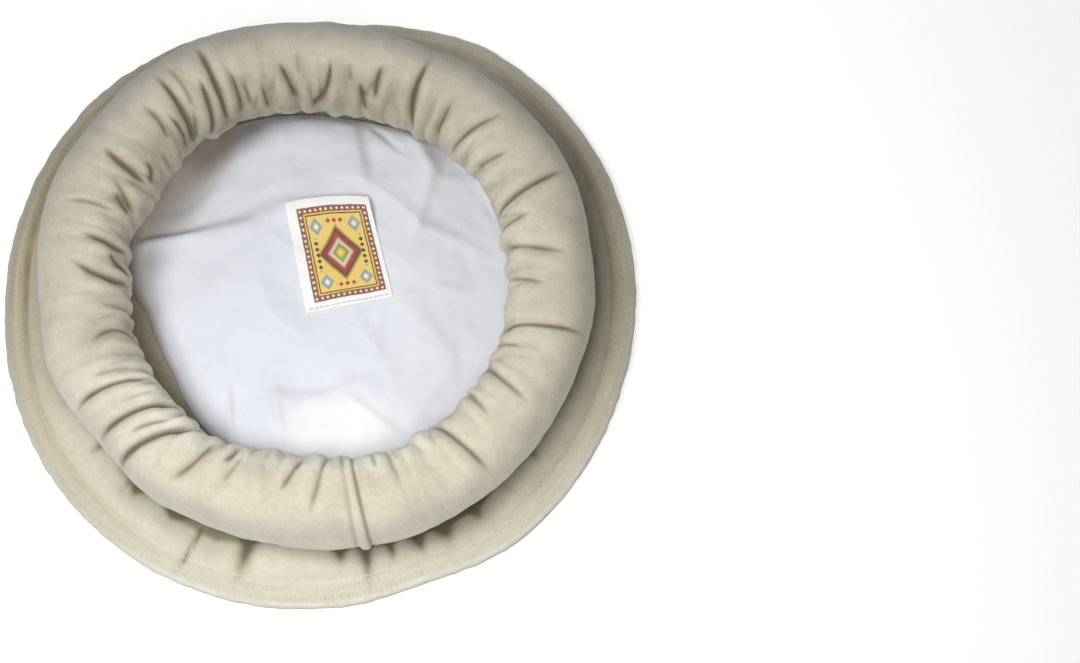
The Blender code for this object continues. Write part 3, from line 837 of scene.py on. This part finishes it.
def wrinkle_relief(x, y):
    """How far the wrinkles lift the cotton, in mm, at points in mm, and the shade painted at their feet.
    """
    total, shade = np.zeros((2, len(x)))
    for row in WRINKLES:
        dx, dy = row.x_2 - row.x_1, row.y_2 - row.y_1
        length = math.hypot(dx, dy)
        share = ((x - row.x_1) * dx + (y - row.y_1) * dy) / length**2
        across = ((x - row.x_1) * dy - (y - row.y_1) * dx) / length
        ends = between(share, -0.15, 0.25, 0.7, 1.15)
        total += ends * row.height * bell(across, row.width)
        total += ends * bell(across, 5.0 * row.width) * row.step * 0.5 * np.tanh(across / row.width)
        foot = across + math.copysign(0.9 * row.width, row.step)
        shade += 0.10 * (abs(row.height) + abs(row.step)) * ends * bell(foot, 0.8 * row.width)
    return total, shade


# The cotton's two whites, and the painted light, painted shade and deep painted shade of its tones.
COTTON_PALE = (0.796, 0.820, 0.892)
COTTON_DULL = (0.760, 0.783, 0.862)
COTTON_LIT = (0.965, 0.975, 0.99)
COTTON_SHADED = (0.45, 0.395, 0.34)
COTTON_DEEP_SHADE = (0.22, 0.195, 0.155)
COTTON_WEAVE = 0.55 * MM

cotton, shade = new_material("white_cotton", roughness=0.9, sheen=0.1)
place = shade.node("ShaderNodeTexCoord", out=3)
across, along = place.x_and_y()
THREADS = math.tau / COTTON_WEAVE
weave = (across * THREADS).math("SINE") * (along * THREADS).math("SINE")
slub = place.noise(900.0, 2.0)
cloth = place.noise(60.0, 4.0, 0.6).ramp((0.30, COTTON_DULL), (0.70, COTTON_PALE))
for tone, tone_colour in (("pale_and_painted_light", COTTON_LIT), ("shade_and_dirt", COTTON_SHADED), ("painted_dim_shade", COTTON_DEEP_SHADE)):
    cloth = shade.tone(tone).mixed(cloth, tone_colour)
feed(shade, cloth, weave * 0.35 + slub * 0.65, 0.12 * MM, 0.55)


def thickened(piece, thickness):
    """Gives a flat piece its thickness, upwards."""
    thicken = piece.modifiers.new("thickness", "SOLIDIFY")
    thicken.thickness = thickness
    thicken.offset = 1.0
    bpy.context.view_layer.objects.active = piece
    bpy.ops.object.modifier_apply(modifier=thicken.name)


# The lining's shape: a slack dome, drawn in at the left, with wrinkles and crumples.
lining_line = [(LINING_R * i / LINING_RINGS, 0.0) for i in range(LINING_RINGS + 1)]
lining = spun("lining_cotton", lining_line, LINING_STEPS, closed=False)
angle, radius, height = polar(lining)
edge_turns, edge_reach = zip(*LINING_EDGE)
edge = np.interp(angle % 360.0, edge_turns, [reach * MM for reach in edge_reach])
drawn_in = 1.0 - edge / LINING_R
share = radius / LINING_R
radius = radius * (1.0 - drawn_in * smooth(share, 0.45, 1.0))
turns = np.radians(angle)
x, y = radius * np.cos(turns) / MM, radius * np.sin(turns) / MM
loose = smooth(drawn_in, 0.02, 0.12)
free = 1.0 - smooth(radius, 0.086, 0.098) * (1.0 - loose)
dome = (1.0 - loose) * (1.0 - smooth(share, 0.35, 0.98)) + loose * (1.0 - share**8)
puff = 7.5 * dome + 2.6 * bell(x + 36, 32) * bell(y + 8, 30) * (1.0 - share**6)
hollow = 4.5 * bell(x + 62, 27) * bell(y - 58, 25)
billow = 5.5 * bell(turned(angle - 268.0), 34.0) * smooth(radius, 0.046, 0.076)
puff += billow * (1.0 - smooth(radius, 0.081, 0.096))
held = 4.2 * smooth(radius, 0.088, 0.103) * (1.0 - loose)
soft_folds = lumps(angle, radius, 0.020, 6)
sharp_folds = 0.5 - np.abs(lumps(angle, radius, 0.026, 10))
crumple = 0.8 * soft_folds + 1.1 * sharp_folds + 0.25 * lumps(angle, radius, 0.007, 7)
edge_fade = 1.0 - smooth(share, 0.93, 1.0) * loose
wrinkles, feet = wrinkle_relief(x, y)
rise = np.maximum(free * (puff - hollow + edge_fade * (wrinkles + crumple)), 0.0) + held
set_polar(lining, angle, radius, LINING_Z + rise * MM)
# Its tones: painted shade beside the roll and the gap, in one corner, at the feet of the wrinkles
#  and a little towards the right; deeper painted shade in the corner; a painted pool of light in front.
above_fold = smooth(y - 24.5 - 0.13 * (x + 94.0), -1.0, 3.5)
corner_x = np.interp(y, (30.0, 35.0, 55.0, 68.0, 89.0), (-64.0, -62.0, -52.0, -44.0, -40.0))
corner = above_fold * smooth(corner_x - x, -5.0, 6.0) * (0.45 + 0.5 * smooth(radius, 0.074, 0.092))
by_gap = smooth(share, 0.94, 1.0) * smooth(drawn_in, 0.02, 0.10)
by_rim = smooth(radius, 0.070, 0.086) * near_angle(angle, 180.0, 8.0, 24.0)
shaded = corner + 0.6 * by_gap + 0.58 * by_rim * (1.0 - above_fold)
shaded += 0.6 * feet + 0.05 * smooth(x, 30.0, 62.0)
put_tone(lining, "shade_and_dirt", shaded)
# Deeper painted shade in the corner under the roll.
deep_corner = smooth(radius, 0.076, 0.092) * near_angle(angle, 121.0, 7.0, 19.0)
put_tone(lining, "painted_dim_shade", 0.75 * deep_corner)
# A painted pool of light near the front.
sunlit = np.exp(-(((x - 12.0) / 24.0) ** 4) - ((y + 66.0) / 14.0) ** 4)
put_tone(lining, "pale_and_painted_light", 0.8 * sunlit)
thickened(lining, LINING_T)
finished(lining, cotton, stands_for=("lining",))


# ---------------- label
# A small patch of white cotton is sewn to the lining by its lower edge, so that its upper
# end lifts. It carries a plain printed panel: a bordered field with a lozenge in the middle.
LABEL_W = 41.0 * MM
LABEL_H = 53.0 * MM
LABEL_T = 0.35 * MM
LABEL_X = 9.4 * MM
LABEL_Y = 18.5 * MM
LABEL_TURN = math.radians(11.5)
LABEL_LIFT = 3.0 * MM

print_cotton, shade = new_material("printed_cotton", roughness=0.75, sheen=0.05)
uv = shade.node("ShaderNodeUVMap", uv_map="UVMap")
u, v = uv.x_and_y()
u, v = (u - 0.5) * (LABEL_W / MM), (v - 0.5) * (LABEL_H / MM)


def under(value, limit):
    """1 where the value is below the limit, with a printed edge's slight softness."""
    return value.node("ShaderNodeMapRange", {0: value, 1: limit - 0.12, 2: limit + 0.12, 3: 1.0, 4: 0.0})


def lozenge(across, along, half_w, half_h):
    """Distance from a lozenge's middle: 1 on its outline."""
    return abs(across) * (1.0 / half_w) + abs(along) * (1.0 / half_h)


def repeated(value, pitch):
    """A value that starts again at each pitch, from minus half of it to half of it."""
    return ((value * (1.0 / pitch) + 0.5).math("FRACT") - 0.5) * pitch


# The print's sizes in mm, and its inks.
PRINT_HALF_W = 17.0
PRINT_HALF_H = 22.3
BORDER = 2.8
BEAD_PITCH = 2.6
DOT_PITCH = 3.0
DOT = 1.15
CORNER_X = 9.2
CORNER_Y = 13.6
PRINT_THREADS = math.tau / 0.45
WHITE = (0.965, 0.97, 0.985)
CREAM = (0.90, 0.84, 0.58)
RED = (0.40, 0.03, 0.03)
BROWN = (0.27, 0.085, 0.05)
OCHRE = (0.86, 0.61, 0.15)
GREEN = (0.22, 0.28, 0.04)
GREY_BLUE = (0.28, 0.36, 0.40)
DARK = (0.05, 0.032, 0.012)
FADED = (0.80, 0.78, 0.70)
wobble = (uv.noise(14.0, 2.0) - 0.5) * 0.5
u = u - 1.3 + wobble
v = v + wobble
box_out = (abs(u) - PRINT_HALF_W).math("MAXIMUM", abs(v) - PRINT_HALF_H)
field = under(box_out, -BORDER)
beads = lozenge(repeated(u, BEAD_PITCH), repeated(v, BEAD_PITCH), 1.0, 1.0)
middle = lozenge(u, v, 8.6, 11.0)
corner = lozenge(abs(u) - CORNER_X, abs(v) - CORNER_Y, 3.3, 3.9)
side_dots = lozenge(abs(u) - 10.8, repeated(v, DOT_PITCH), DOT, DOT)
end_dots = lozenge(repeated(u, DOT_PITCH), abs(v) - 15.6, DOT, DOT)
# The inks from the first printed to the last, each where its mask is 1.
INKS = (
    (under(box_out, 0.0), BROWN),
    (under(beads, 0.75) * under(box_out, -0.5), CREAM),
    (field, OCHRE),
    (field * under(abs(box_out + BORDER + 0.9), 0.28), DARK),
    (under(middle, 1.22), DARK),
    (under(middle, 1.0), RED),
    (under(middle, 0.66), CREAM),
    (under(middle, 0.50), GREEN),
    (under(middle, 0.24), OCHRE),
    (under(corner, 1.0), GREY_BLUE),
    (under(corner, 0.42), CREAM),
    (under(side_dots, 1.0) * under(abs(v), 8.4), DARK),
    (under(end_dots, 1.0) * under(abs(u), 5.2), RED),
)
printed = WHITE
for mask, ink in INKS:
    printed = mask.mixed(printed, ink)
fade = uv.noise(38.0, 3.0, 0.6)
printed = (fade * 0.16).mixed(printed, FADED)
weave = (u * PRINT_THREADS).math("SINE") * (v * PRINT_THREADS).math("SINE")
feed(shade, printed, weave * 0.5 + fade, 0.06 * MM, 0.5)


def on_lining(across, along):
    """Where a place on the flat label lies, seen from above."""
    cosine, sine = math.cos(LABEL_TURN), math.sin(LABEL_TURN)
    return LABEL_X + across * cosine - along * sine, LABEL_Y + across * sine + along * cosine


bpy.ops.mesh.primitive_grid_add(x_subdivisions=52, y_subdivisions=68, size=1.0)
label = bpy.context.object
label.name = label.data.name = "label_patch"
from_middle, from_foot = np.array([vert.co for vert in label.data.vertices]).T[:2]
# The patch isn't quite square: its upper end lifts, arches, leans over and draws in.
upper = smooth(from_foot, 0.10, 0.50)
arch = 1.0 - (2.0 * from_middle) ** 2
lift = (LABEL_LIFT + 0.8 * MM * arch) * upper
end = from_foot + 0.5
skewed = 1.7 * arch * upper - (4.2 * (from_middle + 0.5) - 1.0) * end
along = from_foot * LABEL_H + skewed * MM
across = from_middle * LABEL_W * (1.0 - 0.05 * end) - 1.6 * MM * end
ruffle = 0.16 * MM * np.array([
    noise.noise(Vector((a / 0.007, b / 0.009, 3.1))) for a, b in zip(across, along)
])
x, y = on_lining(across, along)
lining_tree = surface_of(lining)
ground = np.array([
    lining_tree.ray_cast(Vector((*spot, 0.2)), Vector((0, 0, -1)))[0].z for spot in zip(x, y)
])
height = np.maximum(ground, ground.mean() - 0.4 * MM) + 0.25 * MM + lift + ruffle
label.data.vertices.foreach_set("co", np.column_stack([x, y, height]).ravel())
thickened(label, LABEL_T)
bpy.ops.object.shade_smooth_by_angle(angle=math.radians(40))
label.select_set(False)
finished(label, print_cotton, stands_for=("label",))

sewn = []
for step in range(61):
    across, along = (step / 60 - 0.5) * 0.93 * LABEL_W, -0.5 * LABEL_H + 1.5 * MM
    sewn.append((*on_lining(across, along), (-0.35 if step % 4 == 0 else 0.08) * MM))
thread_grey = make_thread("grey_thread", (0.68, 0.68, 0.70))
stitched("label_stitch", thread_grey, surface_of(label), sewn, cyclic=False)


# ---------------- floor, light and camera
# A plain pale floor, and soft light: a broad key from the left, a fill over the front, two
# weak fills low down before and behind the cap, and an even pale surround.
bpy.ops.mesh.primitive_circle_add(vertices=96, radius=6.0, fill_type="NGON", location=(0, 0, -0.3 * MM))
floor = bpy.context.object
floor.name = "floor"
floor_paint, _ = new_material("floor_paint", roughness=0.9, sheen=0.0)
shader = floor_paint.node_tree.nodes["Principled BSDF"]
shader.inputs["Base Color"].default_value = (0.70, 0.70, 0.70, 1.0)
shader.inputs["Emission Color"].default_value = (1.0, 1.0, 1.0, 1.0)
shader.inputs["Emission Strength"].default_value = 0.60
floor.data.materials.append(floor_paint)

world = bpy.data.worlds.new("surround")
bpy.context.scene.world = world
world.use_nodes = True
world.node_tree.nodes["Background"].inputs["Color"].default_value = (0.96, 0.98, 1.0, 1.0)
world.node_tree.nodes["Background"].inputs["Strength"].default_value = 0.05


def soft_light(name, turn, tilt, distance, size, watts, colour):
    """A square soft light that looks at the cap from one angle round it and above the floor."""
    data = bpy.data.lights.new(name, "AREA")
    data.size = size
    data.energy = watts
    data.color = colour
    lamp = bpy.data.objects.new(name, data)
    bpy.context.collection.objects.link(lamp)
    turn, tilt = math.radians(turn), math.radians(tilt)
    lamp.location = (
        distance * math.cos(tilt) * math.cos(turn),
        distance * math.cos(tilt) * math.sin(turn),
        distance * math.sin(tilt),
    )
    lamp.rotation_euler = (-lamp.location).to_track_quat("-Z", "Y").to_euler()


soft_light("key", turn=190, tilt=65, distance=1.2, size=0.45, watts=4.8, colour=(1.0, 0.99, 0.97))
soft_light("front", turn=270, tilt=66, distance=0.42, size=0.20, watts=1.08, colour=(1.0, 0.995, 0.98))
soft_light("low_fill", turn=278, tilt=35, distance=0.43, size=0.22, watts=0.11, colour=(1.0, 1.0, 0.98))
soft_light("back_fill", turn=74, tilt=32, distance=0.46, size=0.20, watts=0.21, colour=(1.0, 1.0, 0.98))

CAMERA_TARGET = Vector((103.2 * MM, -16.9 * MM, 0.0))
CAMERA_TILT = math.radians(73.64)
CAMERA_DISTANCE = 0.9389
camera_data = bpy.data.cameras.new("camera")
camera_data.sensor_width = 36.0
camera_data.lens = 66.67
camera_data.clip_start = 0.01
camera = bpy.data.objects.new("camera", camera_data)
bpy.context.collection.objects.link(camera)
camera_back = Vector((0.0, -math.cos(CAMERA_TILT), math.sin(CAMERA_TILT)))
camera.location = CAMERA_TARGET + camera_back * CAMERA_DISTANCE
camera.rotation_euler = (math.pi / 2 - CAMERA_TILT, 0.0, 0.0)
bpy.context.scene.camera = camera
bpy.context.scene.view_settings.view_transform = "Standard"
